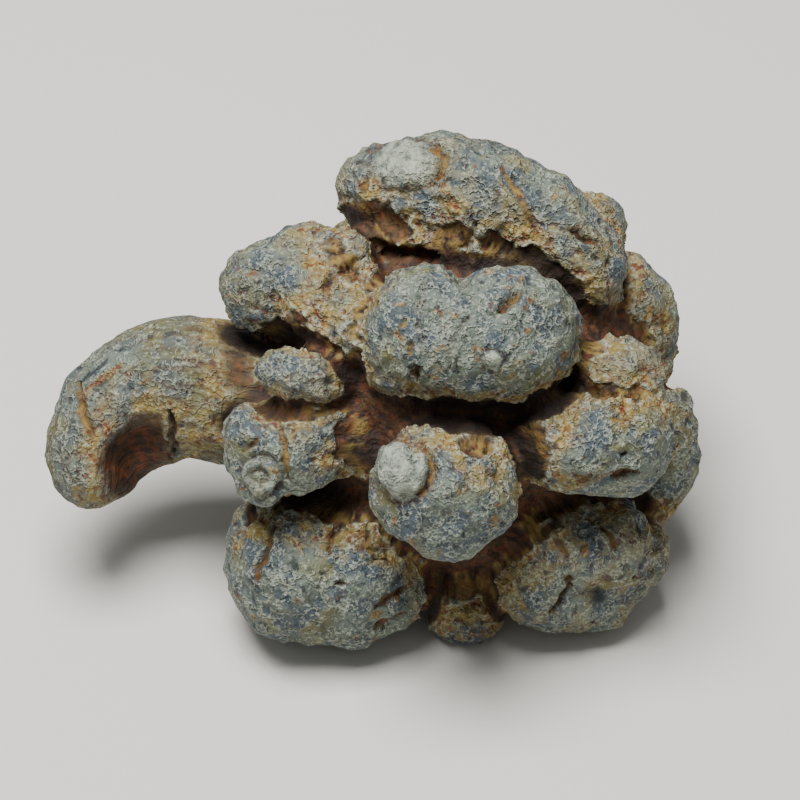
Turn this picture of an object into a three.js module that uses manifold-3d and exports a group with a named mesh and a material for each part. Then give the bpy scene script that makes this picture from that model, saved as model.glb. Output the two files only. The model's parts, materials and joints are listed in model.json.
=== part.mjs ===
import * as THREE from 'three';
import { ConvexGeometry } from 'three/addons/geometries/ConvexGeometry.js';
import { mergeVertices } from 'three/addons/utils/BufferGeometryUtils.js';
import Module from 'manifold-3d';

// A dried notoginseng main root, grown as one knobbly piece: a stout body set all round with
// blunt lobes, and one thick side root that curls down beside it like a claw.
// Millimetres, +Z up. The root lies on its lower lobes, each worn to a small flat foot.

// Driving dimensions
const lean = 45.2;          // degrees that the lobed front face leans back from upright
const faceHeight = 16.4;    // height of the middle of the front face's plane above the ground
const fineDetail = 3;       // facets of a ball, for balls larger than fineRadius
const coarseDetail = 2;
const fineRadius = 5.6;
const neckDepth = 5;        // how far a lobe's neck runs in towards the middle of the body
const neckTaper = 0.85;     // radius of the neck against the lobe's own
const bodyMiddle = new THREE.Vector3(0, 3, 15);
const trimSize = 120;       // block that trims the feet level with the ground

// Every lobe is a chain of balls that one skin is stretched over, two balls at a time.
// On the front face a ball is [across, up the face, out of the face, radius].
const frontLobes = {
  crown: [
    [-6.6, 16.6, 3.5, 4.2], [-2.6, 16.8, 4.5, 4.7], [1.8, 15.6, 5.5, 4.8],
    [6.0, 13.6, 5.5, 4.5], [9.0, 10.8, 5.5, 4.0], [9.6, 9.2, 6.3, 3.0],
  ],
  crownRim: [[-6.2, 13.4, 3.2, 3.8], [-0.5, 12.4, 4.8, 4.0], [5.0, 10.4, 5.2, 3.8], [9.0, 7.6, 3.6, 3.6]],
  crownNeck: [[-4.0, 12.0, 0.0, 5.0], [4.0, 10.5, 0.5, 5.5], [9.0, 7.0, 0.0, 5.0]],
  leftCrown: [[-16.3, 8.6, 4.5, 4.0], [-13.4, 10.2, 5.5, 3.8], [-10.4, 10.8, 6.5, 3.1]],
  leftCrownFlap: [[-13.4, 10.2, 5.5, 3.8], [-11.8, 6.9, 8.0, 3.4], [-9.0, 4.9, 9.3, 3.1]],
  leftCrownFold: [[-10.4, 9.6, 6.5, 3.2], [-7.8, 6.4, 9.0, 3.0]],
  middle: [
    [-5.9, 3.2, 11.5, 3.2], [-3.4, 4.8, 11.2, 5.7], [0.0, 4.2, 12.0, 5.5],
    [3.3, 4.6, 11.5, 5.8], [6.0, 4.2, 11.0, 3.4],
  ],
  bud: [[-14.6, 1.5, 10.0, 2.5], [-12.2, 1.2, 10.5, 2.4]],
  budNeck: [[-13.4, 1.4, 9.6, 2.0], [-10.5, 1.4, 4.0, 3.6]],
  leftShoulder: [
    [-16.7, -6.9, 8.5, 2.2], [-16.9, -3.8, 7.5, 3.4], [-13.6, -4.2, 8.0, 4.0],
    [-10.4, -2.7, 6.5, 4.0], [-6.6, -1.4, 4.6, 4.0],
  ],
  leftShoulderTop: [[-14.6, -2.4, 7.6, 3.0], [-10.6, -1.0, 6.8, 3.0]],
  leftShoulderFlank: [[-10.4, -2.7, 6.5, 4.0], [-7.4, -4.2, 6.2, 3.4]],
  front: [[-3.0, -7.7, 13.0, 4.9], [-0.9, -7.7, 13.0, 5.0], [-1.6, -9.3, 13.2, 4.0]],
  frontButton: [[-5.2, -6.0, 15.6, 2.5], [-3.0, -7.9, 13.0, 4.0]],
  rightShoulder: [
    [5.0, -3.4, 7.0, 3.8], [8.2, -3.9, 10.0, 4.3], [12.1, -3.9, 9.0, 4.4], [14.0, -1.9, 8.0, 3.0],
  ],
  rightShoulderFlank: [[6.2, -1.6, 5.6, 4.0], [10.0, -1.6, 6.4, 3.6]],
  rightKnuckle: [[12.5, 1.1, 7.5, 3.8], [9.8, 2.4, 8.5, 2.4]],
  lowLeft: [
    [-15.5, -11.8, 1.5, 4.3], [-13.6, -14.2, 0.5, 6.3], [-10.3, -14.5, 0.0, 6.5],
    [-7.0, -16.2, 0.0, 3.8],
  ],
  lowLeftShoulder: [[-10.3, -14.5, 0.0, 6.0], [-8.4, -11.3, 3.0, 3.2]],
  lowRight: [
    [6.4, -15.0, 0.0, 4.4], [10.0, -14.9, -1.8, 5.0], [12.4, -13.4, -1.5, 4.3],
    [13.0, -12.0, -1.5, 3.2],
  ],
  lowRightTop: [[7.2, -13.4, 1.6, 3.8], [11.6, -12.4, 1.6, 3.9]],
  lowMiddle: [[-1.2, -17.8, -2.0, 2.6], [0.9, -18.0, -2.0, 2.6], [0.0, -12.5, -4.5, 5.0]],
  rightBack: [[12.5, 7.0, -1.0, 4.8], [13.4, 3.9, -2.0, 4.3]],
  rightEdge: [[16.2, -1.9, -2.0, 2.9], [15.9, -5.2, -2.0, 3.8], [14.8, -8.7, -3.5, 3.0]],
};

// The side root leaves the body's left flank and curls down to a rounded tip clear of the ground.
const sideRoot = [
  [-15.0, -0.5, -1.0, 6.3], [-18.7, 0.0, -1.0, 6.2], [-22.3, 0.6, -1.0, 5.9],
  [-24.9, 0.8, -1.0, 5.5], [-27.2, 0.2, -1.0, 5.0], [-29.1, -1.1, -0.5, 4.6],
  [-30.2, -3.0, 0.0, 4.3], [-30.8, -4.9, 0.5, 3.9], [-30.9, -6.2, 1.0, 3.3],
];
const sideRootBend = [[-29.5, -6.0, -1.2, 3.0], [-27.4, -3.6, -1.6, 3.4], [-24.4, -1.6, -1.4, 4.0]];

// Behind and below, a ball is [x, y, height, radius].
const bodyCore = [[-2, 2, 16, 13.5], [3, 3, 15.5, 13], [0, 6, 14, 12.5]];
const lowCore = [[-7, -4, 10, 7], [0, -5.5, 10.5, 6.6], [7, -3.5, 10.5, 5]];
const backLobes = {
  backCrown: [[-4, 12, 25, 5], [1, 13.5, 25, 5.5], [6, 12, 23, 5]],
  backLeft: [[-12, 9, 19, 5.2], [-13, 10, 14, 4.8]],
  backShoulder: [[-9, 11, 20, 4], [-7, 14.5, 19, 4.2]],
  backMiddle: [[-3, 16, 16, 5.5], [2, 17, 15, 5.8]],
  backKnuckle: [[8, 15, 20, 4], [10, 13, 22, 3.6]],
  backRight: [[12, 11, 16, 5], [13, 9, 12, 4.8]],
  backFoot: [[-1, 17, 7, 4], [1.5, 17, 6, 3.8]],
  backLowLeft: [[-10, 10, 6, 6.4], [-6, 12, 5.6, 6]],
  backLowRight: [[7, 12, 5.5, 5.9], [11, 9, 5, 5.4]],
};

const wasm = await Module();
wasm.setup();

const faceToGround = new THREE.Matrix4()
  .makeRotationX(THREE.MathUtils.degToRad(lean))
  .setPosition(0, 0, faceHeight);

function solid(geometry) {
  const bare = geometry.clone();
  bare.deleteAttribute('normal');
  bare.deleteAttribute('uv');
  const merged = mergeVertices(bare);
  return new wasm.Manifold(new wasm.Mesh({
    numProp: 3,
    vertProperties: new Float32Array(merged.attributes.position.array),
    triVerts: new Uint32Array(merged.index.array),
  }));
}

function ballPoints([x, y, z, radius]) {
  const detail = radius > fineRadius ? fineDetail : coarseDetail;
  const ball = new THREE.IcosahedronGeometry(radius, detail);
  ball.translate(x, y, z);
  const place = ball.attributes.position;
  return Array.from({ length: place.count }, (_, i) => new THREE.Vector3().fromBufferAttribute(place, i));
}

// One skin over each pair of neighbouring balls, so a chain can bend and swell
function chain(balls) {
  const links = balls.slice(1).map((ball, i) => {
    return solid(new ConvexGeometry([...ballPoints(balls[i]), ...ballPoints(ball)]));
  });
  return links.reduce((whole, link) => whole.add(link));
}

// A ball on the front face, as [x, y, height, radius]
function fromFace([across, up, out, radius]) {
  const { x, y, z } = new THREE.Vector3(across, up, out).applyMatrix4(faceToGround);
  return [x, y, z, radius];
}

// The ball further in, towards the middle of the body, that a lobe's ball grows out of
function neck([x, y, z, radius]) {
  const place = new THREE.Vector3(x, y, z);
  const inwards = bodyMiddle.clone().sub(place).setLength(neckDepth);
  return [...place.add(inwards).toArray(), radius * neckTaper];
}

// A lobe is a chain whose skin also runs in to its neck
function lobe(balls) {
  const links = balls.slice(1).map((ball, i) => {
    const pair = [balls[i], ball];
    const stub = [...pair, ...pair.map(neck)];
    return solid(new ConvexGeometry(stub.flatMap(ballPoints)));
  });
  return links.reduce((whole, link) => whole.add(link));
}

function grownRoot() {
  const pieces = [
    chain(bodyCore),
    chain(lowCore),
    chain(sideRoot.map(fromFace)),
    chain(sideRootBend.map(fromFace)),
    ...Object.values(frontLobes).map((balls) => lobe(balls.map(fromFace))),
    ...Object.values(backLobes).map(lobe),
  ];
  const below = new THREE.BoxGeometry(trimSize, trimSize, trimSize);
  below.translate(0, 0, -trimSize / 2);
  return pieces.reduce((whole, piece) => whole.add(piece)).subtract(solid(below));
}

function rootGeometry() {
  const mesh = grownRoot().getMesh();
  const geometry = new THREE.BufferGeometry();
  geometry.setAttribute('position', new THREE.BufferAttribute(mesh.vertProperties, mesh.numProp));
  geometry.setIndex(new THREE.BufferAttribute(mesh.triVerts, 1));
  geometry.computeVertexNormals();
  return geometry;
}

const driedSkin = new THREE.MeshStandardMaterial({ color: 0x8e9488, roughness: 0.85, metalness: 0 });

const root = new THREE.Mesh(rootGeometry(), driedSkin);
root.name = 'notoginseng_root';

// The origin is on the ground under the middle of the whole root
root.geometry.computeBoundingBox();
const middle = root.geometry.boundingBox.getCenter(new THREE.Vector3());
root.position.set(-middle.x, -middle.y, 0);

const model = new THREE.Group();
model.add(root);

export default model;
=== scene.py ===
import json
import math
from types import SimpleNamespace

import bpy
import numpy as np
from mathutils import Matrix, Vector, noise

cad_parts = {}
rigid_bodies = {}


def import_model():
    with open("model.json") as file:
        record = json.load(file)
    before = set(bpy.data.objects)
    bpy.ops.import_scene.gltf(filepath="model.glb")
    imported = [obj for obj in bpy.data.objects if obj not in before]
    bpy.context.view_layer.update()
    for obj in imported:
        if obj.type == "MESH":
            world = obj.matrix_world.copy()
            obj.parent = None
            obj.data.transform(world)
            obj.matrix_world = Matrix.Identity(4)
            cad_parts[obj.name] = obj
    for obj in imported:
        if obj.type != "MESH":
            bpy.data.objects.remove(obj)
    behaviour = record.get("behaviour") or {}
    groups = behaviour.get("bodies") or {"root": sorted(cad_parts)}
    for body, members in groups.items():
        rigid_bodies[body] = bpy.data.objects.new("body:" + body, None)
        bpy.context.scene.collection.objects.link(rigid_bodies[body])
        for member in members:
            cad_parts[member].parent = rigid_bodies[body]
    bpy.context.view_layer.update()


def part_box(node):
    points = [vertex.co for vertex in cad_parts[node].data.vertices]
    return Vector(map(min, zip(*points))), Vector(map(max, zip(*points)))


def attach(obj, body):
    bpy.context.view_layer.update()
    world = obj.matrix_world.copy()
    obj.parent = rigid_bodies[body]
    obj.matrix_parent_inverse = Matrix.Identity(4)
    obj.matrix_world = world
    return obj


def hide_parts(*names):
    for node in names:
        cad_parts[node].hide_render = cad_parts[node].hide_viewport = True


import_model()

mm = 0.001

# where the lobed front face is and how it leans, and the camera that looks straight at it
face = {
    "lean": 45.2,  # degrees back from upright
    "height": 16.4,  # of the face's middle above the ground, mm
    "viewFrom": 413,  # camera to the face's middle, mm
    "frameWidth": 66,  # width that the picture takes in at the face, mm
    "aim": (-5.5, -0.5),  # middle of the picture on the face: across, up, mm
}

# every lobe is one or more chains of balls: across, up the face, out of it, radius, all in mm
frontLobes = {
    "crown": [
        [(-6.6, 16.6, 3.5, 4.2), (-2.6, 16.8, 4.5, 4.7), (1.8, 15.6, 5.5, 4.8),
         (6.0, 13.6, 5.5, 4.5), (9.0, 10.8, 5.5, 4.0), (9.6, 9.2, 6.3, 3.0)],
        [(-6.2, 13.4, 3.2, 3.8), (-0.5, 12.4, 4.8, 4.0), (5.0, 10.4, 5.2, 3.8), (9.0, 7.6, 3.6, 3.6)],
        [(-4.0, 12.0, 0.0, 5.0), (4.0, 10.5, 0.5, 5.5), (9.0, 7.0, 0.0, 5.0)],
    ],
    "leftCrown": [
        [(-16.3, 8.6, 4.5, 4.0), (-13.4, 10.2, 5.5, 3.8), (-10.4, 10.8, 6.5, 3.1)],
        [(-13.4, 10.2, 5.5, 3.8), (-11.8, 6.9, 8.0, 3.4), (-9.0, 4.9, 9.3, 3.1)],
        [(-10.4, 9.6, 6.5, 3.2), (-7.8, 6.4, 9.0, 3.0)],
    ],
    "middle": [
        [(-5.9, 3.2, 11.5, 3.2), (-3.4, 4.8, 11.2, 5.7), (0.0, 4.2, 12.0, 5.5),
         (3.3, 4.6, 11.5, 5.8), (6.0, 4.2, 11.0, 3.4)],
    ],
    "bud": [
        [(-14.6, 1.5, 10.0, 2.5), (-12.2, 1.2, 10.5, 2.4)],
        [(-13.4, 1.4, 9.6, 2.0), (-10.5, 1.4, 4.0, 3.6)],
    ],
    "leftShoulder": [
        [(-16.7, -6.9, 8.5, 2.2), (-16.9, -3.8, 7.5, 3.4), (-13.6, -4.2, 8.0, 4.0),
         (-10.4, -2.7, 6.5, 4.0), (-6.6, -1.4, 4.6, 4.0)],
        [(-14.6, -2.4, 7.6, 3.0), (-10.6, -1.0, 6.8, 3.0)],
        [(-10.4, -2.7, 6.5, 4.0), (-7.4, -4.2, 6.2, 3.4)],
    ],
    "front": [
        [(-3.1, -7.4, 13.0, 5.0), (-0.8, -7.4, 13.0, 5.1), (-1.6, -9.3, 13.2, 4.1)],
        [(-5.2, -6.0, 15.6, 2.5), (-3.0, -7.9, 13.0, 4.0)],
    ],
    "rightShoulder": [
        [(5.0, -3.4, 7.0, 3.8), (8.2, -3.9, 10.0, 4.3), (12.1, -3.9, 9.0, 4.4), (14.0, -1.9, 8.0, 3.0)],
        [(6.2, -1.6, 5.6, 4.0), (10.0, -1.6, 6.4, 3.6)],
    ],
    "rightKnuckle": [[(12.5, 1.1, 7.5, 3.8), (9.8, 2.4, 8.5, 2.4)]],
    "lowLeft": [
        [(-15.5, -11.8, 1.5, 4.3), (-13.6, -14.2, 0.5, 6.3), (-10.3, -14.5, 0.0, 6.5),
         (-7.0, -16.2, 0.0, 3.8)],
        [(-10.3, -14.5, 0.0, 6.0), (-8.4, -11.3, 3.0, 3.2)],
    ],
    "lowRight": [
        [(6.4, -15.0, 0.0, 4.4), (10.0, -14.9, -1.8, 5.0), (12.4, -13.4, -1.5, 4.3),
         (13.0, -12.0, -1.5, 3.2)],
        [(7.2, -13.4, 1.6, 3.8), (11.6, -12.4, 1.6, 3.9)],
    ],
    "lowMiddle": [[(-1.2, -17.8, -2.0, 2.6), (0.9, -18.0, -2.0, 2.6), (0.0, -12.5, -4.5, 5.0)]],
    "rightBack": [[(12.5, 7.0, -1.0, 4.8), (13.4, 3.9, -2.0, 4.3)]],
    "rightEdge": [[(16.2, -1.9, -2.0, 2.9), (15.9, -5.2, -2.0, 3.8), (14.8, -8.7, -3.5, 3.0)]],
}
sideRoot = [
    [(-15.0, -0.5, -1.0, 6.3), (-18.7, 0.0, -1.0, 6.2), (-22.3, 0.6, -1.0, 5.9),
     (-24.9, 0.8, -1.0, 5.5), (-27.2, 0.2, -1.0, 5.0), (-29.1, -1.1, -0.5, 4.6),
     (-30.2, -3.0, 0.0, 4.3), (-30.8, -4.9, 0.5, 3.9), (-30.9, -6.2, 1.0, 3.3)],
    [(-29.5, -6.0, -1.2, 3.0), (-27.4, -3.6, -1.6, 3.4), (-24.4, -1.6, -1.4, 4.0)],
]

# behind and below, a ball is x, y, height, radius in mm
bodyCore = [
    [(-2, 2, 16, 13.5), (3, 3, 15.5, 13), (0, 6, 14, 12.5)],
    [(-7, -4, 10, 7.0), (0, -5.5, 10.5, 6.6), (7, -3.5, 10.5, 5.0)],
]
backLobes = {
    "backCrown": [[(-4, 12, 25, 5), (1, 13.5, 25, 5.5), (6, 12, 23, 5)]],
    "backLeft": [[(-12, 9, 19, 5.2), (-13, 10, 14, 4.8)]],
    "backShoulder": [[(-9, 11, 20, 4), (-7, 14.5, 19, 4.2)]],
    "backMiddle": [[(-3, 16, 16, 5.5), (2, 17, 15, 5.8)]],
    "backKnuckle": [[(8, 15, 20, 4), (10, 13, 22, 3.6)]],
    "backRight": [[(12, 11, 16, 5), (13, 9, 12, 4.8)]],
    "backFoot": [[(-1, 17, 7, 4), (1.5, 17, 6, 3.8)]],
    "backLowLeft": [[(-10, 10, 6, 6.4), (-6, 12, 5.6, 6)]],
    "backLowRight": [[(7, 12, 5.5, 5.9), (11, 9, 5, 5.4)]],
}

body = {
    "middle": (0, 3, 15),  # the lobes' necks run in towards it, mm
    "neckDepth": 5,  # mm
    "neckTaper": 0.85,  # neck radius against the lobe's
    "voxel": 0.24,  # mm
    "relax": 9,  # smoothing steps that turn facets and joints into flesh
    "triangles": 196000,
}


def deselect():
    bpy.ops.object.select_all(action="DESELECT")


def makeActive(piece):
    deselect()
    piece.select_set(True)
    bpy.context.view_layer.objects.active = piece


def applyModifier(piece, kind, **settings):
    makeActive(piece)
    modifier = piece.modifiers.new(kind.lower(), kind)
    for key, value in settings.items():
        setattr(modifier, key, value)
    bpy.ops.object.modifier_apply(modifier=modifier.name)


# from the leaning face to the ground
faceToGround = Matrix.Translation((0, 0, face["height"])) @ Matrix.Rotation(
    math.radians(face["lean"]), 4, "X"
)


def fromFace(ball):
    return (*(faceToGround @ Vector(ball[:3])), ball[3])


def neckOf(ball):
    place = Vector(ball[:3])
    inwards = (Vector(body["middle"]) - place).normalized() * body["neckDepth"]
    return (*(place + inwards), ball[3] * body["neckTaper"])


lobes = {
    name: [[fromFace(ball) for ball in chain] for chain in chains]
    for name, chains in frontLobes.items()
}
lobes.update(backLobes)
bare = {"sideRoot": [[fromFace(ball) for ball in chain] for chain in sideRoot], "core": bodyCore}
grown = {**lobes, **bare}
lobeNames = list(grown)


def joined(pieces):
    deselect()
    for piece in pieces:
        piece.select_set(True)
    bpy.context.view_layer.objects.active = pieces[0]
    bpy.ops.object.join()
    return bpy.context.object


# rough body: one stretched skin over each pair of balls and their necks
def growLink(balls):
    parts = []
    for x, y, z, radius in balls:
        bpy.ops.mesh.primitive_ico_sphere_add(
            subdivisions=4, radius=radius * mm, location=(x * mm, y * mm, z * mm)
        )
        parts.append(bpy.context.object)
    link = joined(parts)
    bpy.ops.object.mode_set(mode="EDIT")
    bpy.ops.mesh.select_all(action="SELECT")
    bpy.ops.mesh.convex_hull()
    bpy.ops.object.mode_set(mode="OBJECT")
    return link


def growBody():
    links = []
    for name, chains in grown.items():
        for chain in chains:
            for pair in zip(chain, chain[1:]):
                necks = map(neckOf, pair) if name in lobes else ()
                links.append(growLink([*pair, *necks]))
    whole = joined(links)
    bpy.ops.object.transform_apply(location=True, rotation=True, scale=True)
    applyModifier(whole, "REMESH", mode="VOXEL", voxel_size=body["voxel"] * mm)
    applyModifier(whole, "SMOOTH", factor=0.5, iterations=body["relax"])
    whole.name = "dried_notoginseng_root"
    print("rough body:", len(whole.data.vertices), "points")
    return whole


root = growBody()


# how far each point is from every lobe, in mm
def linkDistance(points, first, last):
    start, end = np.array(first[:3]), np.array(last[:3])
    along = end - start
    share = np.clip((points - start) @ along / (along @ along), 0, 1)
    radius = first[3] + share * (last[3] - first[3])
    return np.linalg.norm(points - start - share[:, None] * along, axis=1) - radius


def between(first, last, share):
    return tuple(np.array(first) * (1 - share) + np.array(last) * share)


def lobeDistance(points, chains, withNecks):
    nearest = np.full(len(points), 1e9)
    for chain in chains:
        for first, last in zip(chain, chain[1:]):
            nearest = np.minimum(nearest, linkDistance(points, first, last))
            for share in (0, 0.5, 1) if withNecks else ():
                ball = between(first, last, share)
                nearest = np.minimum(nearest, linkDistance(points, ball, neckOf(ball)))
    return nearest


def allDistances(points):
    return np.array([lobeDistance(points, grown[name], name in lobes) for name in lobeNames])


def smoothStep(low, high, value):
    share = np.clip((value - low) / (high - low), 0, 1)
    return share * share * (3 - 2 * share)


def bell(distance, width):
    return np.exp(-((distance / width) ** 2))


def noiseAt(points, basis="PERLIN_ORIGINAL"):
    return np.array([noise.noise(p, noise_basis=basis) for p in points.tolist()])


def fractalAt(points, octaves):
    return np.array([noise.fractal(p, 1.0, 2.0, octaves) for p in points.tolist()])


# marks on the face: places are across and up, in mm, as seen from the camera's distance
# a crack's ochre is the share of straw colour in it, its stain how dark it is, 1 if not given
cracks = {
    "crown": [
        dict(
            path=[(-3.9, 20.5), (-2.6, 20.3), (-1.9, 19.6), (-2.1, 18.2), (-2.8, 17.6)],
            width=0.3, depth=0.5, ochre=0.6,
        ),
        dict(path=[(-8.3, 18.2), (-8.6, 17.1), (-8.8, 16.3)], width=0.25, depth=0.35, ochre=0.5),
        dict(path=[(0.6, 14.0), (0.3, 12.9), (-0.1, 11.8)], width=0.35, depth=0.5, ochre=0.4),
        dict(
            path=[(-8.5, 12.9), (-7.0, 11.4), (-4.6, 11.2), (-2.6, 11.2)],
            width=0.6, depth=0.9, ochre=0.0,
        ),
        dict(path=[(8.7, 13.4), (9.6, 12.8), (10.6, 12.4)], width=0.28, depth=0.6, ochre=0.1),
        dict(
            path=[(2.5, 18.9), (3.8, 17.3), (4.8, 15.3), (5.2, 13.8), (6.2, 11.9)],
            width=0.3, depth=0.2, ochre=0.9,
        ),
    ],
    "leftCrown": [
        dict(
            path=[(-8.5, 11.4), (-9.7, 10.7), (-11.2, 9.6), (-11.8, 8.9), (-11.5, 8.0)],
            width=0.35, depth=0.6, ochre=0.6,
        ),
        dict(
            path=[(-7.0, 8.9), (-7.4, 8.0), (-8.5, 6.9), (-9.3, 5.8), (-10.1, 4.5)],
            width=0.35, depth=0.5, ochre=0.5,
        ),
    ],
    "middle": [
        dict(path=[(4.3, 8.6), (3.4, 7.6), (2.3, 6.6)], width=0.5, depth=0.8, ochre=0.35),
        dict(
            path=[(-2.1, 11.2), (-0.6, 9.4), (-0.1, 8.5)],
            width=0.5, depth=0.25, ochre=0.3, stain=0.2,
        ),
        dict(path=[(-4.3, 2.5), (-4.5, 1.1)], width=0.42, depth=0.8, ochre=0.2),
        dict(
            path=[(-3.5, 9.6), (-4.2, 7.4), (-4.0, 4.8), (-3.4, 2.6)],
            width=0.28, depth=0.35, ochre=0.2, stain=0.3,
        ),
        dict(
            path=[(0.2, 6.6), (-0.9, 5.4), (-1.6, 3.6), (-1.9, 1.4)],
            width=0.28, depth=0.35, ochre=0.2, stain=0.3,
        ),
        dict(path=[(-5.4, 6.2), (-5.9, 5.2)], width=0.28, depth=0.35, ochre=0.8),
        dict(path=[(-4.8, 4.3), (-5.1, 3.1)], width=0.28, depth=0.35, ochre=0.8),
        dict(
            path=[(-0.8, 3.7), (-1.0, 2.4), (-1.1, 1.2)],
            width=0.18, depth=0.3, ochre=0.0, stain=0.4,
        ),
    ],
    "rightShoulder": [
        dict(
            path=[(9.3, 0.7), (10.6, 0.2), (11.8, 0.0), (12.6, 0.5), (13.4, 0.1), (14.4, -0.3)],
            width=0.45, depth=0.9, ochre=0.3,
        ),
        dict(path=[(11.9, -1.9), (12.8, -2.0), (13.6, -1.6)], width=0.3, depth=0.3, ochre=0.8),
        dict(path=[(11.9, -7.3), (13.4, -6.7), (14.1, -6.4)], width=0.35, depth=0.5, ochre=0.3),
        dict(path=[(8.7, -6.7), (9.5, -7.0), (10.3, -6.7)], width=0.3, depth=0.3, ochre=0.5),
    ],
    "front": [
        dict(
            path=[(-4.1, -3.7), (-3.2, -4.8), (-3.0, -6.1), (-3.6, -7.8), (-4.7, -8.6)],
            width=0.3, depth=0.55, ochre=0.4,
        ),
    ],
    "lowLeft": [
        dict(
            path=[(-15.9, -10.9), (-16.5, -12.2), (-16.6, -13.3), (-17.2, -14.5), (-17.5, -15.7)],
            width=0.25, depth=0.4, ochre=0.2,
        ),
        dict(
            path=[
                (-9.6, -8.7), (-10.0, -9.8), (-10.5, -11.0),
                (-11.2, -11.9), (-11.3, -12.7), (-11.2, -13.3),
            ],
            width=0.3, depth=0.6, ochre=0.3,
        ),
        dict(
            path=[(-10.9, -15.8), (-10.3, -15.6), (-9.9, -15.6)],
            width=0.22, depth=0.3, ochre=0.3,
        ),
        dict(
            path=[(-8.5, -10.7), (-8.2, -12.5), (-7.6, -13.6), (-6.8, -13.7)],
            width=0.22, depth=0.35, ochre=0.6,
        ),
        dict(path=[(-4.9, -16.0), (-6.5, -16.9), (-7.7, -17.7)], width=0.35, depth=0.4, ochre=0.2),
        dict(path=[(-4.9, -18.0), (-6.4, -18.9), (-7.6, -19.5)], width=0.3, depth=0.35, ochre=0.1),
    ],
    "leftShoulder": [
        dict(
            path=[(-15.9, -1.9), (-15.6, -3.1), (-15.3, -4.8), (-15.0, -6.1), (-14.9, -7.2)],
            width=0.28, depth=0.35, ochre=0.7,
        ),
        dict(path=[(-18.5, -4.8), (-17.9, -4.2), (-17.3, -3.6)], width=0.25, depth=0.35, ochre=0.3),
    ],
    "lowRight": [
        dict(path=[(11.0, -11.0), (11.8, -11.9), (12.4, -12.9)], width=0.28, depth=0.45, ochre=0.3),
        dict(path=[(7.3, -11.6), (7.7, -12.6), (8.2, -13.3)], width=0.28, depth=0.4, ochre=0.6),
        dict(path=[(9.3, -12.8), (10.0, -12.4)], width=0.25, depth=0.3, ochre=0.4),
        dict(
            path=[(8.3, -15.1), (8.5, -15.9), (7.7, -17.4), (6.9, -18.3)],
            width=0.3, depth=0.5, ochre=0.2,
        ),
        dict(
            path=[(15.7, -12.8), (14.4, -13.9), (13.6, -15.6)],
            width=0.2, depth=0.2, ochre=0.2, stain=0.3,
        ),
    ],
    "sideRoot": [
        dict(
            path=[(-32.3, 1.2), (-32.1, -0.2), (-31.8, -1.7), (-31.2, -2.9), (-30.9, -3.7)],
            width=0.45, depth=0.5, ochre=0.7,
        ),
        dict(
            path=[(-24.6, -1.4), (-24.4, -2.6), (-24.3, -3.9), (-24.0, -5.2)],
            width=0.28, depth=0.7, ochre=0.0,
        ),
        dict(
            path=[(-33.8, -4.6), (-33.1, -6.5), (-32.5, -7.5)],
            width=0.25, depth=0.25, ochre=0.3, stain=0.3,
        ),
    ],
}
# bare flesh, an oval with a ragged edge: middle, half width, half height, turn, share of straw colour
bareSpots = {
    "crown": [
        ((-7.6, 13.8), (3.0, 2.0), 0, 0.1),
        ((-1.5, 12.8), (1.8, 1.2), 10, 0.6),
        ((4.2, 10.9), (3.8, 1.0), -28, 0.5),
    ],
    "leftCrown": [
        ((-10.2, 11.0), (2.0, 1.1), -50, 0.8),
        ((-16.0, 4.9), (2.2, 1.0), 25, 0.2),
        ((-8.4, 6.6), (1.2, 2.6), -30, 0.9),
    ],
    "rightKnuckle": [((9.6, 4.4), (1.5, 1.2), 0, 0.9)],
    "rightShoulder": [((5.4, -4.2), (1.4, 2.9), 0, 0.4), ((10.5, 0.3), (2.6, 0.6), 0, 0.8)],
    "front": [((0.9, -3.9), (1.5, 0.9), 0, 0.7)],
    "lowLeft": [((-10.2, -9.3), (2.8, 1.4), 0, 0.1), ((-17.9, -9.5), (0.9, 1.0), 0, 0.1)],
    "leftShoulder": [((-8.3, -3.6), (2.6, 3.3), 0, 0.0)],
    "lowRight": [((6.4, -11.0), (2.0, 0.8), 25, 0.2)],
    "lowMiddle": [((-0.6, -15.8), (2.6, 1.3), 0, 0.3)],
    "sideRoot": [((-27.3, -5.4), (2.5, 3.7), -35, 0.0), ((-19.0, 2.4), (1.2, 3.0), 0, 0.1)],
}
# blunt scars of fallen shoots and rootlets: middle, half width, half height, rise, ring or dome
buttons = {
    "crown": [((-5.2, 19.1), (2.6, 2.1), 0.35, "dome")],
    "middle": [((1.9, 2.7), (0.8, 0.9), 0.35, "dome")],
    "front": [((-5.6, -6.3), (2.4, 2.5), 0.5, "dome")],
    "leftShoulder": [((-17.2, -6.8), (1.5, 1.3), 0.4, "ring")],
}
# small round holes: middle, radius
holes = {
    "crown": [((10.5, 11.1), 0.25)],
    "rightShoulder": [((12.9, -5.0), 0.32)],
    "front": [((2.8, -10.6), 0.22), ((-0.4, -11.7), 0.2), ((-0.1, -3.8), 0.25), ((1.9, -4.4), 0.28)],
    "lowLeft": [((-14.0, -14.5), 0.25), ((-12.0, -19.5), 0.22)],
    "leftShoulder": [((-10.9, -4.8), 0.32)],
    "lowRight": [((10.8, -17.0), 0.9)],
    "sideRoot": [((-31.1, -0.4), 0.22)],
}


def pathDistance(places, path):
    # distance to the nearest stretch, and how far along the path it is, 0 to 1
    path = np.array(path)
    lengths = np.linalg.norm(np.diff(path, axis=0), axis=1)
    starts = np.concatenate([[0], np.cumsum(lengths)])
    nearest = np.full(len(places), 1e9)
    along = np.zeros(len(places))
    for k, length in enumerate(lengths):
        step = (path[k + 1] - path[k]) / length
        run = np.clip((places - path[k]) @ step, 0, length)
        gap = np.linalg.norm(places - path[k] - run[:, None] * step, axis=1)
        closer = gap < nearest
        nearest[closer] = gap[closer]
        along[closer] = (starts[k] + run[closer]) / starts[-1]
    return nearest, along


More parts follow.
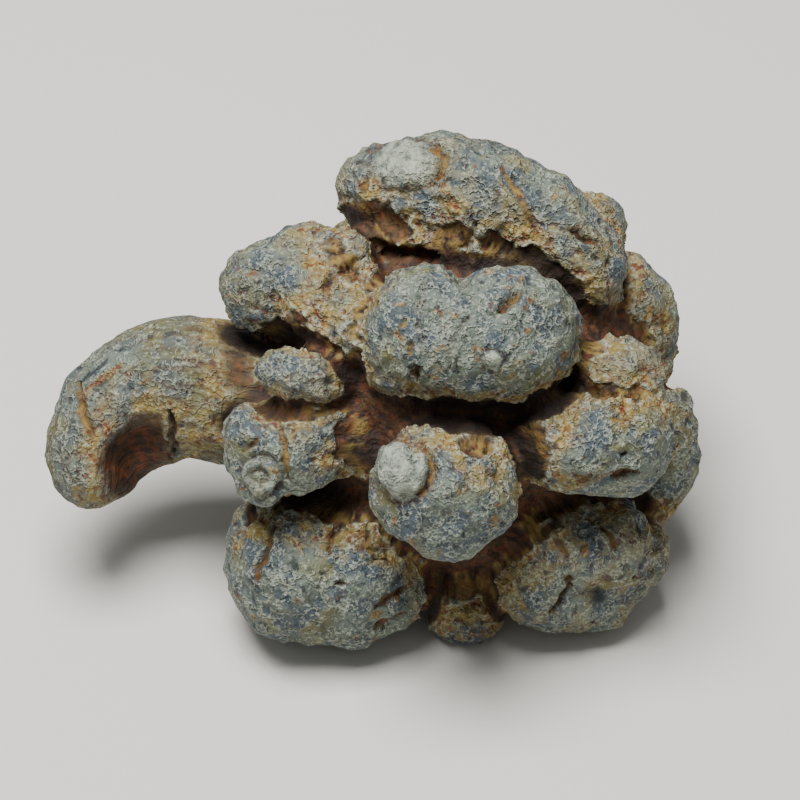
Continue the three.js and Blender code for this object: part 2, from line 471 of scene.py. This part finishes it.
def ovalDistance(places, middle, half, turn=0):
    # 1 on the oval's edge
    cos, sin = math.cos(math.radians(turn)), math.sin(math.radians(turn))
    offset = (places - np.array(middle)) @ np.array([[cos, -sin], [sin, cos]])
    return np.linalg.norm(offset / np.array(half), axis=1)


# lobes whose whole skin is frayed, and how much
frayed = {
    "crown": 0.3,
    "leftCrown": 0.15,
    "rightKnuckle": 0.5,
    "bud": 0.3,
    "lowMiddle": 0.8,
    "lowRight": 0.35,
}
# shallow hollows: middle, half width, half height, turn, depth
hollows = {
    "middle": [((-0.4, 10.4), (0.9, 2.2), 0, 0.8)],
    "sideRoot": [((-27.4, -5.0), (2.6, 3.4), -35, 1.2)],
}
# relief in mm: size across, height
skin = {
    "thickness": 0.34,  # from the flesh up to the skin
    "stopsAt": 0.8,  # this far from the next lobe
    "drawsBack": 2.6,  # further where the air in front of it is closed in
    "openAir": 0.66,  # share of open air from which it spreads instead
    "torn": (0.9, 0.45),  # how far coarse and fine tears move its edge
    "edgeBlur": 0.18,  # half the width in which it thins out
    "frayedTo": 3.0,  # width of the frayed band along the edge
    "rim": 0.12,  # its curled edge
    "lumps": (4.5, 0.4),
    "knobs": (2.4, 0.26),
    "grain": (0.8, 0.07),
    "ridges": (1.9, 0.16),
    "crumbs": (1.1, 0.3),  # along the split edges only
    "fibres": (0.8, 0.24),  # on bare flesh
    "pits": (1.5, 0.22),
}
# the side root's skin is smoother: shares of the other lobes' relief
sideSkin = {
    "edgeBlur": 0.9,  # mm, it thins out softly
    "relief": 0.45,
    "crumbs": 0.2,
    "fibres": 0.9,
    "rim": 0.3,
    "inland": 0.35,
}
fibresUnderSkin = 0.35  # how much of them shows through on the other lobes
# open air in front of a point: looked for this far out in mm, and what each counts
outlooks = [(1.2, 0.25), (2.6, 0.3), (5, 0.25), (8, 0.2)]
# patterns on the growth are squeezed along it, and drawn at this reach from the middle in mm
growthPattern = {"squeeze": 0.2, "reach": 16, "sideRadius": 5, "sideAway": 40}


def growthPlace(points, onFace, onSide):
    # place that is squeezed along the growth, so that patterns there turn into streaks
    squeeze, fullReach = growthPattern["squeeze"], growthPattern["reach"]
    out = points - np.array(body["middle"])
    reach = np.linalg.norm(out, axis=1)
    place = out / reach[:, None] * (fullReach + (reach - fullReach) * squeeze)[:, None]
    # the side root grows along its own bent axis
    radius = growthPattern["sideRadius"]
    balls = np.array(sideRoot[0])[:, :3]
    nearest = np.full(onSide.sum(), 1e9)
    curved = np.zeros((onSide.sum(), 3))
    start = 0
    for first, last in zip(balls, balls[1:]):
        length = np.linalg.norm(last - first)
        step = (last - first) / length
        run = np.clip((onFace[onSide] - first) @ step, 0, length)
        offset = onFace[onSide] - first - run[:, None] * step
        gap = np.linalg.norm(offset, axis=1)
        beside = np.cross(step, (0, 0, 1))
        turn = np.arctan2(offset[:, 2], offset @ beside)
        closer = gap < nearest
        nearest[closer] = gap[closer]
        spot = np.stack(
            [radius * np.cos(turn), radius * np.sin(turn), squeeze * (start + run)], axis=1
        )
        curved[closer] = spot[closer]
        start += length
    place[onSide] = curved + growthPattern["sideAway"]
    return place


def readPoints(piece):
    count = len(piece.data.vertices)
    points, normals = np.empty(count * 3), np.empty(count * 3)
    piece.data.vertices.foreach_get("co", points)
    piece.data.vertex_normals.foreach_get("vector", normals)
    return points.reshape(-1, 3) / mm, normals.reshape(-1, 3)


def survey(points, normals):
    # where every point is: on which lobe, how near the next, how much air is open before it
    at = SimpleNamespace(points=points)
    inverse = np.array(faceToGround.inverted())
    onFace = points @ inverse[:3, :3].T + inverse[:3, 3]
    at.facing = normals @ inverse[2, :3]
    at.seen = onFace[:, :2] * (face["viewFrom"] / (face["viewFrom"] - onFace[:, 2]))[:, None]

    distances = allDistances(points)
    at.owner = distances.argmin(axis=0)
    at.gap = np.sort(distances, axis=0)[1]
    at.side = at.owner == lobeNames.index("sideRoot")
    at.core = (at.owner == lobeNames.index("core")) & (onFace[:, 2] > -4)  # front side only
    at.openness = np.zeros(len(points))
    for reach, share in outlooks:
        ahead = allDistances(points + normals * reach).min(axis=0)
        at.openness += share * np.clip(ahead / reach, 0, 1)
    print("openness from", at.openness.min().round(2), "to", at.openness.max().round(2))

    # noises, each moved by a number of its own so that no two line up
    at.growth = growthPlace(points, onFace, at.side)
    at.coarse = fractalAt(points / 2.6, 3)
    at.ragged = fractalAt(points / 0.9 + 11.3, 3)
    at.shake = np.stack([noiseAt(points / 0.8 + 31.7), noiseAt(points / 0.8 + 77.1)], axis=1)
    at.shaken = at.seen + 0.3 * at.shake
    return at


def on(at, lobe, least=0.0):
    return (at.owner == lobeNames.index(lobe)) & (at.facing > least)


def splitSkin(at):
    # how far inside the skin's edge a point is, in mm, and how straw-coloured the flesh beyond it
    coarseTear, fineTear = skin["torn"]
    edge = at.gap + skin["drawsBack"] * (at.openness - skin["openAir"])
    edge = edge + coarseTear * at.coarse + fineTear * at.ragged - skin["stopsAt"]
    edge[at.core] = np.minimum(edge[at.core], 0.4 * at.ragged[at.core] - 0.4)
    straw = bell(edge + 0.1, 0.45) * ~at.core
    for lobe, spots in bareSpots.items():
        here = on(at, lobe, -0.3)
        for middle, half, turn, share in spots:
            oval = ovalDistance(at.shaken[here], middle, half, turn)
            inside = (oval - 1) * min(half) + 0.5 * at.coarse[here] + 0.4 * at.ragged[here]
            straw[here] = np.maximum(straw[here], share * (1 - smoothStep(0.8, 1.3, oval)))
            edge[here] = np.minimum(edge[here], inside)
    return edge, straw


def frayEdges(at, edge, cork):
    split = 1 - smoothStep(0.2, skin["frayedTo"], edge + 1.6 * at.coarse)
    for lobe, share in frayed.items():
        here = at.owner == lobeNames.index(lobe)
        split[here] = np.maximum(split[here], share * smoothStep(-0.25, 0.1, at.coarse[here]))
    return split * cork


def cutCracks(at):
    # stain, depth, colour of the stain and raised lips
    crack, groove, ochre, lip = np.zeros((4, len(at.points)))
    for lobe, marks in cracks.items():
        here = on(at, lobe, -0.2)
        ragged = at.ragged[here]
        for mark in marks:
            away, along = pathDistance(at.shaken[here], mark["path"])
            wide = mark["width"] * np.sqrt(np.clip(4.4 * along * (1 - along), 0.04, 1))
            cut = bell(away, wide)
            stain = mark.get("stain", 1) * smoothStep(0.25, 0.7, cut + 0.3 * ragged)
            ochre[here] = np.where(stain > crack[here], mark["ochre"], ochre[here])
            crack[here] = np.maximum(crack[here], stain)
            groove[here] = np.maximum(groove[here], cut * mark["depth"])
            edges = 0.35 * mark["depth"] * bell(away - wide * 1.8, wide * 0.7)
            lip[here] = np.maximum(lip[here], edges)
    return crack, groove, ochre, lip


def raiseScars(at, crack):
    # height of scars, holes and hollows, and where they are pale, pitted or stained in a ring
    rise, pale, pit = np.zeros((3, len(at.points)))
    for lobe, marks in buttons.items():
        here = on(at, lobe)
        for middle, half, height, form in marks:
            oval = ovalDistance(at.seen[here] + 0.25 * at.shake[here], middle, half)
            if form == "dome":
                shape = 1 - smoothStep(0.5, 1.05, oval)
                moat = bell(oval - 1.15, 0.16)
            else:
                shape = bell(oval - 0.8, 0.22) + 0.25 * bell(oval, 0.3)
                moat = bell(oval - 1.25, 0.16) + bell(oval - 0.42, 0.12)
            faded = (1 - smoothStep(0.7, 1.1, oval)) * (1 if form == "dome" else 0.4)
            pale[here] = np.maximum(pale[here], faded)
            rise[here] += height * shape - 0.5 * height * moat
            ring = smoothStep(0.5, 0.9, moat + 0.3 * at.ragged[here])
            crack[here] = np.maximum(crack[here], 0.5 * ring)
    for lobe, marks in holes.items():
        here = on(at, lobe)
        for middle, radius in marks:
            dip = bell(np.linalg.norm(at.shaken[here] - np.array(middle), axis=1), radius)
            rise[here] -= min(1.8 * radius, 0.7) * dip
            pit[here] = np.maximum(pit[here], dip)
    for lobe, marks in hollows.items():
        here = on(at, lobe, -0.6)
        for middle, half, turn, depth in marks:
            oval = ovalDistance(at.seen[here] + 0.2 * at.shake[here], middle, half, turn)
            rise[here] -= depth * (1 - smoothStep(0.2, 1.1, oval))
    return rise, pale, pit


def growRelief(at, cork, split):
    # lumps, ridges, crumbs and fibres that cover the whole root, and its small dark specks
    points = at.points
    size, depth = skin["pits"]
    cells = noiseAt(at.growth / size + 5.3, "VORONOI_F1")
    sparse = smoothStep(0.0, 0.25, noiseAt(points / 2.1 + 9.1))
    specks = (1 - smoothStep(-0.8, -0.35, cells)) * sparse * cork
    relief = -depth * specks
    size, height = skin["lumps"]
    relief += height * fractalAt(points / size, 2)
    size, height = skin["knobs"]
    relief += height * noiseAt(points / size + 3.3)
    size, height = skin["grain"]
    relief += height * noiseAt(points / size + 17)
    size, height = skin["ridges"]
    ridge = 1 - 4 * np.abs(noiseAt(points / size + 23))
    relief += height * np.clip(ridge, -0.6, 1) * cork
    relief[at.side] *= sideSkin["relief"]
    size, height = skin["crumbs"]
    crumbs = noiseAt(points / size + 51, "VORONOI_F2F1")
    relief += height * crumbs * np.where(at.side, sideSkin["crumbs"] * split, split)
    size, height = skin["fibres"]
    fibres = noiseAt(at.growth / size)
    relief += height * fibres * (1 - cork)
    relief += np.where(at.side, sideSkin["fibres"], fibresUnderSkin) * height * fibres * cork
    return relief, specks


def sculpt(piece):
    points, normals = readPoints(piece)
    at = survey(points, normals)
    edge, straw = splitSkin(at)
    blur = np.where(at.side, sideSkin["edgeBlur"], skin["edgeBlur"])
    cork = smoothStep(-blur, blur, edge)
    split = frayEdges(at, edge, cork)
    crack, groove, ochre, lip = cutCracks(at)
    rise, pale, pit = raiseScars(at, crack)
    relief, specks = growRelief(at, cork, split)
    rim = bell(edge - 0.22, 0.2)
    relief += skin["thickness"] * (cork - 1) + skin["rim"] * rim * ~at.side - 0.1
    relief += rise + lip - groove

    points = points + normals * relief[:, None]
    points[:, 2] = np.maximum(points[:, 2], 0)
    piece.data.vertices.foreach_set("co", (points * mm).ravel())

    values = {
        "cork": cork * (1 - crack),
        "rim": rim * np.where(at.side, sideSkin["rim"], 1),
        "split": split,
        "straw": np.maximum(ochre * crack, straw),
        # open air before each point, which also sets the painted shade on the flesh
        "openness": at.openness,
        "inland": np.clip(at.gap / 5, 0, 1) * np.where(at.side, sideSkin["inland"], 1),
        "pit": np.maximum(pit, specks),
        "pale": pale,
    }
    for name, value in values.items():
        layer = piece.data.attributes.new(name, "FLOAT", "POINT")
        layer.data.foreach_set("value", value.astype(np.float32))
    layer = piece.data.attributes.new("growth", "FLOAT_VECTOR", "POINT")
    layer.data.foreach_set("vector", at.growth.astype(np.float32).ravel())
    print("sculpted:", len(points), "points")


sculpt(root)
keep = body["triangles"] / (2 * len(root.data.polygons))
applyModifier(root, "DECIMATE", ratio=keep, use_collapse_triangulate=True)
print("triangles:", len(root.data.polygons))


def placeOnFrame(piece):
    # middle of the box over the middle of the CAD node's
    low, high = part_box("notoginseng_root")
    corners = np.array([v.co for v in piece.data.vertices])
    shift = (np.array(low) + np.array(high)) / 2 - (corners.min(axis=0) + corners.max(axis=0)) / 2
    shift[2] = 0
    piece.data.transform(Matrix.Translation(shift))
    return Vector(shift)


shift = placeOnFrame(root)
makeActive(root)
bpy.ops.object.shade_smooth()


def toLinear(hexColour):
    channels = [int(hexColour[k : k + 2], 16) / 255 for k in (1, 3, 5)]
    linear = [c / 12.92 if c <= 0.04045 else ((c + 0.055) / 1.055) ** 2.4 for c in channels]
    return (*linear, 1)


def addNode(tree, kind, inputs=None, **settings):
    # an input is a plain value or another node's output
    node = tree.nodes.new(kind)
    for key, value in settings.items():
        setattr(node, key, value)
    for socket, value in (inputs or {}).items():
        if isinstance(value, bpy.types.NodeSocket):
            tree.links.new(value, node.inputs[socket])
        else:
            node.inputs[socket].default_value = value
    return node


corkSkin = {
    "grey": "#677064",
    "blue": "#465157",
    "slate": "#262d30",
    "olive": "#67643f",
    "pale": "#a9ae9c",
    "cream": "#a09d78",
    "straw": "#8a7338",
    "rust": "#6c340f",
    "brown": "#251206",
    "tan": "#4b3014",
    # near-black painted shade for the flesh deep in closed-in hollows
    "recessShade": "#170b05",
    "roughness": 0.78,
    "bump": 0.35,  # mm
}
# size in mm, detail, roughness of each pattern
corkPatterns = {
    "patch": (5, 3, 0.6),
    "mottle": (2.4, 4, 0.65),
    "speckle": (0.85, 3, 0.6),
    "fine": (0.38, 2, 0.6),
    "veins": (1.5, 3, 0.6),
}
# size in mm across the growth, detail
streakPatterns = {"streak": (0.55, 2), "flecks": (1.0, 4)}


def corkMaterial():
    # dried notoginseng skin: dull blue-grey cork, frayed straw edges, rust and brown flesh in the
    # splits, and painted shade darkening the flesh in deep hollows
    material = bpy.data.materials.new("driedNotoginsengSkin")
    material.use_nodes = True
    tree = material.node_tree
    tree.nodes.clear()
    place = addNode(tree, "ShaderNodeTexCoord").outputs["Object"]
    growth = addNode(tree, "ShaderNodeAttribute", attribute_name="growth").outputs["Vector"]

    values = {}
    for name in ("cork", "rim", "split", "straw", "openness", "inland", "pit", "pale"):
        values[name] = addNode(tree, "ShaderNodeAttribute", attribute_name=name).outputs["Fac"]
    for name, (size, detail, rough) in corkPatterns.items():
        inputs = {"Vector": place, "Scale": 1 / (size * mm), "Detail": detail, "Roughness": rough}
        values[name] = addNode(tree, "ShaderNodeTexNoise", inputs).outputs["Fac"]
    for name, (size, detail) in streakPatterns.items():
        inputs = {"Vector": growth, "Scale": 1 / size, "Detail": detail}
        values[name] = addNode(tree, "ShaderNodeTexNoise", inputs).outputs["Fac"]

    # veins run where their noise crosses its middle
    inputs = {0: values["veins"], 1: 0.5}
    crossing = addNode(tree, "ShaderNodeMath", inputs, operation="SUBTRACT").outputs[0]
    values["veins"] = addNode(tree, "ShaderNodeMath", {0: crossing}, operation="ABSOLUTE").outputs[0]
    # the skin is greyer away from the seams
    inputs = {0: values["inland"], 1: 0.12, 2: values["patch"]}
    weathered = addNode(tree, "ShaderNodeMath", inputs, operation="MULTIPLY_ADD").outputs[0]
    values["weathered"] = weathered

    def shareOf(*masks):
        # masks times each other, each with its pattern, where it is nothing, where full, and full share
        share = 1.0
        for name, low, high, most in masks:
            inputs = {"Value": values[name], "From Min": low, "From Max": high, "To Max": most}
            mask = addNode(tree, "ShaderNodeMapRange", inputs).outputs["Result"]
            inputs = {0: mask, 1: share}
            share = addNode(tree, "ShaderNodeMath", inputs, operation="MULTIPLY").outputs[0]
        return share

    def cover(under, over, *masks):
        # a colour's name or a finished layer, over another
        inputs = {0: shareOf(*masks), 6: under, 7: over}
        for socket in (6, 7):
            if inputs[socket] in corkSkin:
                inputs[socket] = toLinear(corkSkin[inputs[socket]])
        return addNode(tree, "ShaderNodeMix", inputs, data_type="RGBA").outputs[2]

    # skin
    cork = cover("olive", "grey", ("weathered", 0.46, 0.62, 1))
    cork = cover(cork, "blue", ("mottle", 0.46, 0.58, 1), ("inland", 0.0, 0.5, 1))
    cork = cover(cork, "slate", ("speckle", 0.54, 0.64, 0.85))
    cork = cover(cork, "pale", ("veins", 0.03, 0.0, 0.7))
    cork = cover(cork, "pale", ("fine", 0.56, 0.66, 0.6), ("inland", -0.1, 0.5, 1))
    cork = cover(cork, "tan", ("streak", 0.5, 0.62, 0.8), ("inland", 0.5, 0.2, 1))
    cork = cover(cork, "slate", ("pit", 0.2, 0.8, 0.9))
    fleck = cover("rust", "straw", ("fine", 0.45, 0.55, 1))
    cork = cover(cork, fleck, ("flecks", 0.63, 0.68, 0.7))
    # frayed band
    fray = cover("straw", "rust", ("speckle", 0.5, 0.62, 1))
    fray = cover(fray, "cream", ("fine", 0.5, 0.62, 0.8))
    cork = cover(cork, fray, ("split", 0, 1, 1), ("mottle", 0.62, 0.46, 1))
    # old scars
    scar = cover("pale", "grey", ("speckle", 0.45, 0.65, 1))
    cork = cover(cork, scar, ("pale", 0, 1, 0.8))
    # flesh, with painted shade where it lies deep in closed-in hollows
    flesh = cover("brown", "tan", ("streak", 0.38, 0.62, 1))
    flesh = cover(flesh, "rust", ("speckle", 0.5, 0.64, 0.6))
    flesh = cover(flesh, "straw", ("straw", 0, 1, 1), ("streak", 0.36, 0.58, 1))
    # painted shade: the flesh turns near black where little open air lies before it
    flesh = cover(flesh, "recessShade", ("openness", 0.55, 0.1, 0.9))
    # skin over flesh, with a pale torn rim
    whole = cover(flesh, cork, ("cork", 0, 1, 1))
    whole = cover(whole, "pale", ("rim", 0, 1, 1), ("fine", 0.4, 0.55, 0.7))

    # relief too fine for the mesh: grains and veins, weaker on flesh, and streaks
    height = 0.0
    grains = ((values["speckle"], -0.7), (values["fine"], 0.6), (shareOf(("veins", 0.06, 0, 0.35)), 1))
    for pattern, amount in grains:
        inputs = {0: pattern, 1: amount, 2: height}
        height = addNode(tree, "ShaderNodeMath", inputs, operation="MULTIPLY_ADD").outputs[0]
    inputs = {0: values["streak"], 1: 0.8}
    streaks = addNode(tree, "ShaderNodeMath", inputs, operation="MULTIPLY").outputs[0]
    inputs = {0: height, 1: shareOf(("cork", -0.4, 1, 1)), 2: streaks}
    height = addNode(tree, "ShaderNodeMath", inputs, operation="MULTIPLY_ADD").outputs[0]
    inputs = {"Height": height, "Strength": 1, "Distance": corkSkin["bump"] * mm}
    bump = addNode(tree, "ShaderNodeBump", inputs).outputs["Normal"]
    inputs = {"Base Color": whole, "Normal": bump, "Roughness": corkSkin["roughness"]}
    shader = addNode(tree, "ShaderNodeBsdfPrincipled", inputs).outputs["BSDF"]
    addNode(tree, "ShaderNodeOutputMaterial", {"Surface": shader})
    print("skin material:", len(tree.nodes), "nodes")
    return material


root.data.materials.clear()
root.data.materials.append(corkMaterial())
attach(root, "root")
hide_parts("notoginseng_root")


# pale floor, soft light from above on the left, weak fill
studio = {
    "floor": "#d9d6cf",
    "floorSize": 3,
    "keyPower": 2.85,
    "keyPlace": (-0.055, -0.01, 0.38),
    "keyAimsAt": (0, 0, 0.015),
    "keySize": 0.2,
    "air": "#eef1f5",
    "fill": 0.27,
}


def plainMaterial(name, hexColour, roughness):
    material = bpy.data.materials.new(name)
    material.use_nodes = True
    shader = material.node_tree.nodes["Principled BSDF"]
    shader.inputs["Base Color"].default_value = toLinear(hexColour)
    shader.inputs["Roughness"].default_value = roughness
    return material


def makeStudio():
    deselect()
    bpy.ops.mesh.primitive_plane_add(size=studio["floorSize"], location=(0, 0, 0))
    floor = bpy.context.object
    floor.name = "floor"
    floor.data.materials.append(plainMaterial("matteStudioPaper", studio["floor"], 0.9))

    world = bpy.data.worlds.new("studioAir")
    bpy.context.scene.world = world
    world.use_nodes = True
    background = world.node_tree.nodes["Background"]
    background.inputs["Color"].default_value = toLinear(studio["air"])
    background.inputs["Strength"].default_value = studio["fill"]

    bpy.ops.object.light_add(type="AREA", location=studio["keyPlace"])
    key = bpy.context.object
    key.data.size = studio["keySize"]
    key.data.energy = studio["keyPower"]
    towards = Vector(studio["keyAimsAt"]) - key.location
    key.rotation_euler = towards.to_track_quat("-Z", "Y").to_euler()
    print("studio: floor, key light and fill")


def makeCamera():
    bpy.ops.object.camera_add()
    camera = bpy.context.object
    outwards = faceToGround.to_3x3() @ Vector((0, 0, 1))
    upwards = faceToGround.to_3x3() @ Vector((0, 1, 0))
    across, up = face["aim"]
    target = faceToGround @ Vector((across, up, 0))
    place = target + outwards * face["viewFrom"]
    camera.location = place * mm + shift
    camera.rotation_euler = Matrix((Vector((1, 0, 0)), upwards, outwards)).transposed().to_euler()
    camera.data.lens = camera.data.sensor_width * face["viewFrom"] / face["frameWidth"]
    camera.data.clip_start = 0.01
    bpy.context.scene.camera = camera
    print("camera:", round(face["viewFrom"]), "mm from the face")


makeStudio()
makeCamera()
